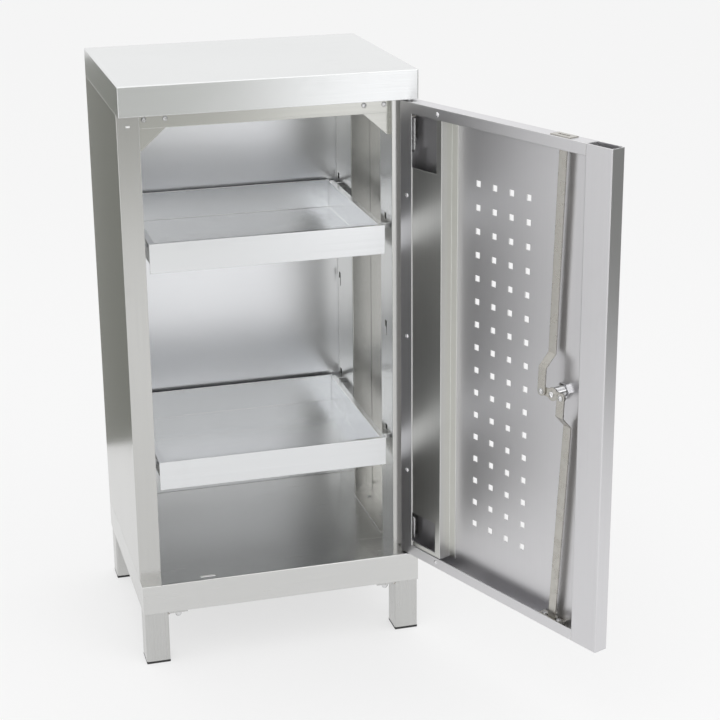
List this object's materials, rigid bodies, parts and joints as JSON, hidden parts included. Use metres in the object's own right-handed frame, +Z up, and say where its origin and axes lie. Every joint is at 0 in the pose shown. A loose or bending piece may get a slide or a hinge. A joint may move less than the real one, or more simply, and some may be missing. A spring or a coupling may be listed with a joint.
{
  "type": "storage_cabinet",
  "caption": "Stainless steel cabinet on square legs with a perforated swing door, rod lock, slotted posts and lift-off trays",
  "frame": {"origin": "on the floor, midway between the four legs", "axes": "+X to the right seen from the front, +Y to the back, +Z up"},
  "size_m": [0.6801, 0.8394, 1.025],
  "materials": {
    "stainless_sheet": "fine satin stainless sheet",
    "black_plastic": "moulded black plastic",
    "rubber": "soft black rubber",
    "steel_fixings": "plain steel fixings",
    "plated_steel": "zinc plated steel",
    "chrome": "polished plating"
  },
  "bodies": {
    "cabinet": {"top_cover": "stainless_sheet", "roof_panel": "stainless_sheet", "base_pan": "stainless_sheet", "back_panel": "stainless_sheet", "front_rail": "stainless_sheet", "side_panel_left": "stainless_sheet", "side_panel_right": "stainless_sheet", "gusset_left": "stainless_sheet", "gusset_right": "stainless_sheet", "upright_front_left": "stainless_sheet", "upright_front_right": "stainless_sheet", "upright_back_left": "stainless_sheet", "upright_back_right": "stainless_sheet", "leg_front_left": "stainless_sheet", "leg_front_right": "stainless_sheet", "leg_back_left": "stainless_sheet", "leg_back_right": "stainless_sheet", "foot_front_left": "black_plastic", "foot_front_right": "black_plastic", "foot_back_left": "black_plastic", "foot_back_right": "black_plastic", "door_buffer": "rubber", "leg_bolts": "steel_fixings", "rail_screws": "steel_fixings", "floor_rivets": "steel_fixings"},
    "door": {"door_pan": "stainless_sheet", "hinge_stiffener": "stainless_sheet", "door_rivets": "steel_fixings", "pin_bracket_upper": "plated_steel", "pin_bracket_lower": "plated_steel", "lock_housing": "chrome", "lock_nut": "chrome", "rod_guide_upper": "plated_steel", "rod_guide_lower": "plated_steel", "guide_screws": "steel_fixings"},
    "upper_pin": {"hinge_pin_upper": "plated_steel"},
    "lower_pin": {"hinge_pin_lower": "plated_steel"},
    "lock": {"lock_plug": "chrome", "lock_cam": "plated_steel", "cam_screw": "plated_steel", "rod_bolts": "plated_steel"},
    "upper_rod": {"upper_rod": "plated_steel"},
    "lower_rod": {"lower_rod": "plated_steel"},
    "upper_tray": {"tray_upper": "stainless_sheet"},
    "lower_tray": {"tray_lower": "stainless_sheet"}
  },
  "joints": [
    {"name": "door_hinge", "type": "hinge", "parent": "cabinet", "child": "door", "pos_m": [0.238, -0.186, 0.5625], "axis": [0, 0, 1], "range_deg": [-111.9, 58]},
    {"name": "upper_pin_slide", "type": "slide", "parent": "door", "child": "upper_pin", "axis": [0, 0, -1], "range_m": [0, 0.012], "stiffness_N_per_m": 500, "springref_m": -0.008},
    {"name": "lower_pin_slide", "type": "slide", "parent": "door", "child": "lower_pin", "axis": [0, 0, 1], "range_m": [0, 0.012], "stiffness_N_per_m": 500, "springref_m": -0.008},
    {"name": "lock_turn", "type": "hinge", "parent": "door", "child": "lock", "pos_m": [0.36386, -0.54065, 0.5625], "axis": [0.9278, 0.373, 0], "range_deg": [0, 90]},
    {"name": "upper_rod_pivot", "type": "hinge", "parent": "lock", "child": "upper_rod", "pos_m": [0.35306, -0.52128, 0.5625], "axis": [0.9278, 0.373, 0], "range_deg": [-93, 0]},
    {"name": "lower_rod_pivot", "type": "hinge", "parent": "lock", "child": "lower_rod", "pos_m": [0.36947, -0.5621, 0.5625], "axis": [0.9278, 0.373, 0], "range_deg": [-93, 0]},
    {"name": "upper_tray_lift", "type": "slide", "parent": "cabinet", "child": "upper_tray", "axis": [0, 0, 1], "range_m": [0, 0.012]},
    {"name": "lower_tray_lift", "type": "slide", "parent": "cabinet", "child": "lower_tray", "axis": [0, 0, 1], "range_m": [0, 0.012]}
  ],
  "couplings": [
    {"joint": "upper_rod_pivot", "follows": "lock_turn", "ratio": -1.0289},
    {"joint": "lower_rod_pivot", "follows": "lock_turn", "ratio": -1.0276}
  ]
}
